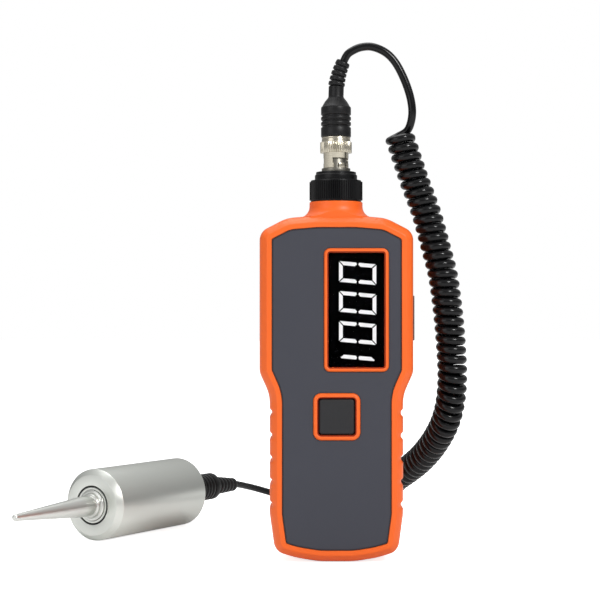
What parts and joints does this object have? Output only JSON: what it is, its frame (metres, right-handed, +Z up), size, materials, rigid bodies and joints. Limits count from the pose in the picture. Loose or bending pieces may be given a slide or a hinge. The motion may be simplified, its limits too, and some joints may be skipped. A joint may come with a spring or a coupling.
{
  "type": "handheld vibration meter",
  "caption": "Upright handheld vibration meter with a turned digit display, a square measure button, side slide switches and a metal contact probe on a curly cord.",
  "frame": {"origin": "centre of the foot, the low end of the upright housing", "axes": "+Z up along the housing to the connector, +X to the right of a person who reads the front, +Y to the back"},
  "size_m": [0.2047, 0.2002, 0.2304],
  "materials": {
    "orange_shell": "fine-grained moulded ABS",
    "panel_grey": "satin printed sheet",
    "window_clear": "clear acrylic",
    "lcd_black": "dark display glass",
    "digit_white": "lit display segments",
    "inner_black": "moulded",
    "strip_rubber": "striped contact rubber",
    "board_green": "solder mask",
    "chip_black": "moulded",
    "screw_steel": "zinc plated",
    "button_grey": "satin moulded",
    "plunger_white": "moulded",
    "switch_black": "moulded",
    "knob_white": "moulded",
    "battery_wrap": "plain wrapped can",
    "lead_red": "insulated wire",
    "nickel": "nickel plated",
    "insulator_white": "PTFE",
    "gold_brass": "gold flashed",
    "connector_black": "moulded, satin",
    "boot_rubber": "satin moulded boot",
    "cord_black": "satin cord jacket",
    "satin_aluminium": "satin turned",
    "polished_steel": "polished turned",
    "ceramic": "fired ceramic",
    "mass_steel": "turned"
  },
  "bodies": {
    "meter": {"front_shell": "orange_shell", "rear_shell": "orange_shell", "front_panel": "panel_grey", "display_window": "window_clear", "lcd_module": "lcd_black", "lcd_digits": "digit_white", "lcd_holder": "inner_black", "contact_strips": "strip_rubber", "main_board": "board_green", "board_parts": "chip_black", "board_shield": "nickel", "board_screws": "screw_steel", "housing_screws": "screw_steel", "button_switch": "chip_black", "switch_plate": "switch_black", "mode_switch": "nickel", "range_switch": "nickel", "battery": "battery_wrap", "battery_snap": "inner_black", "battery_leads": "lead_red", "socket_body": "nickel", "socket_insulator": "insulator_white", "socket_contact": "gold_brass", "socket_washer": "nickel", "socket_nut": "nickel", "signal_lead": "cord_black", "adapter_ring": "connector_black", "plug_body": "nickel", "plug_insulator": "insulator_white", "plug_pin": "gold_brass", "plug_boot": "boot_rubber", "cord_arc": "cord_black", "cord_coil": "cord_black", "cord_tail": "cord_black", "probe_plug": "boot_rubber", "probe_plug_pins": "gold_brass", "probe_socket": "nickel", "probe_case": "satin_aluminium", "probe_rear_cap": "satin_aluminium", "probe_base": "polished_steel", "piezo_discs": "ceramic", "electrode_disc": "gold_brass", "seismic_mass": "mass_steel", "preload_screw": "screw_steel", "probe_lead": "lead_red", "probe_collar": "polished_steel", "probe_tip": "polished_steel"},
    "button": {"measure_button": "button_grey", "button_plunger": "plunger_white"},
    "mode_slide": {"mode_knob": "knob_white"},
    "range_slide": {"range_knob": "knob_white"},
    "door": {"battery_door": "orange_shell"},
    "lock_ring": {"lock_ring": "connector_black"},
    "bayonet_sleeve": {"bayonet_sleeve": "nickel"}
  },
  "joints": [
    {"name": "button_press", "type": "slide", "parent": "meter", "child": "button", "axis": [0, 1, 0], "range_m": [0, 0.0008], "stiffness_N_per_m": 600},
    {"name": "mode_slide", "type": "slide", "parent": "meter", "child": "mode_slide", "axis": [0, 0, 1], "range_m": [-0.002, 0.002]},
    {"name": "range_slide", "type": "slide", "parent": "meter", "child": "range_slide", "axis": [0, 0, 1], "range_m": [-0.002, 0]},
    {"name": "battery_door_swing", "type": "hinge", "parent": "meter", "child": "door", "pos_m": [0, 0.0124, 0.01], "axis": [-1, 0, 0], "range_deg": [0, 85]},
    {"name": "lock_ring_turn", "type": "hinge", "parent": "meter", "child": "lock_ring", "pos_m": [0, 0, 0.159], "axis": [0, 0, 1], "range_deg": [0, 180]},
    {"name": "bayonet_turn", "type": "hinge", "parent": "meter", "child": "bayonet_sleeve", "pos_m": [0, 0, 0.174], "axis": [0, 0, 1], "range_deg": [0, 90]}
  ]
}
